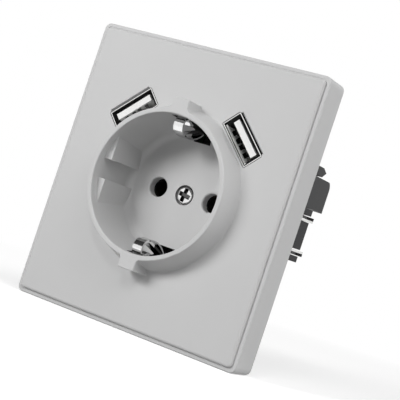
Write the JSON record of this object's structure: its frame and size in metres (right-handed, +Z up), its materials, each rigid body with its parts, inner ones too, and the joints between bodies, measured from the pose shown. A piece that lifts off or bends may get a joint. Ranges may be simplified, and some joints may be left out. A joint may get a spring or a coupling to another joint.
{
  "type": "usb wall socket",
  "caption": "Flush wall socket with a rectangular framed plate, a round earthed plug well, sloped USB charging ports beside it, and spreading claws behind.",
  "frame": {"origin": "centre of the wall plane, at the back edge of the plate frame and on the axis of the plug well", "axes": "+X to the right and +Z up as seen by a user facing the socket, +Y into the wall, so the front looks along -Y"},
  "size_m": [0.078, 0.0579, 0.086],
  "materials": {
    "plate_plastic": "satin grey moulding",
    "cover_plastic": "satin grey moulding",
    "black_plastic": "satin black moulding",
    "yoke_steel": "zinc plated",
    "claw_steel": "zinc plated",
    "screw_steel": "bright nickel plated",
    "earth_steel": "bright nickel plated spring strip",
    "contact_brass": "bare brass",
    "shell_steel": "nickel plated sheet",
    "tongue_plastic": "white moulding",
    "contact_metal": "plated spring strip",
    "board_laminate": "green coated laminate",
    "ferrite": "sintered",
    "winding": "yellow wrapped winding",
    "capacitor_can": "sleeved can"
  },
  "bodies": {
    "socket": {"outer_frame": "plate_plastic", "front_cover": "cover_plastic", "cover_screw": "screw_steel", "earth_strap": "earth_steel", "strap_rivets": "contact_brass", "support_yoke": "yoke_steel", "yoke_screws": "screw_steel", "contact_base": "black_plastic", "back_cover": "black_plastic", "back_cover_screws": "screw_steel", "line_contact": "contact_brass", "neutral_contact": "contact_brass", "line_clamp": "claw_steel", "neutral_clamp": "claw_steel", "earth_clamp": "claw_steel", "terminal_screws": "screw_steel", "supply_housing": "black_plastic", "usb_board": "board_laminate", "transformer_core": "ferrite", "transformer_winding": "winding", "bulk_capacitor": "capacitor_can", "output_capacitors": "capacitor_can", "usb_shell_right": "shell_steel", "usb_shell_left": "shell_steel", "usb_tongue_right": "tongue_plastic", "usb_tongue_left": "tongue_plastic", "usb_contacts_right": "contact_metal", "usb_contacts_left": "contact_metal"},
    "right_claw": {"claw_right": "claw_steel"},
    "left_claw": {"claw_left": "claw_steel"},
    "right_claw_screw": {"claw_screw_right": "screw_steel"},
    "left_claw_screw": {"claw_screw_left": "screw_steel"}
  },
  "joints": [
    {"name": "right_claw_swing", "type": "hinge", "parent": "socket", "child": "right_claw", "pos_m": [0.0255, 0.0088, 0], "axis": [0, 0, -1], "range_deg": [0, 14]},
    {"name": "left_claw_swing", "type": "hinge", "parent": "socket", "child": "left_claw", "pos_m": [-0.0255, 0.0088, 0], "axis": [0, 0, 1], "range_deg": [0, 14]},
    {"name": "right_claw_screw_turn", "type": "hinge", "parent": "socket", "child": "right_claw_screw", "pos_m": [0.0255, 0, 0], "axis": [0, 1, 0], "range_deg": [0, 540.5]},
    {"name": "left_claw_screw_turn", "type": "hinge", "parent": "socket", "child": "left_claw_screw", "pos_m": [-0.0255, 0, 0], "axis": [0, 1, 0], "range_deg": [0, 540.5]}
  ],
  "couplings": [
    {"joint": "right_claw_screw_turn", "follows": "right_claw_swing", "ratio": 38.571},
    {"joint": "left_claw_screw_turn", "follows": "left_claw_swing", "ratio": 38.571}
  ]
}
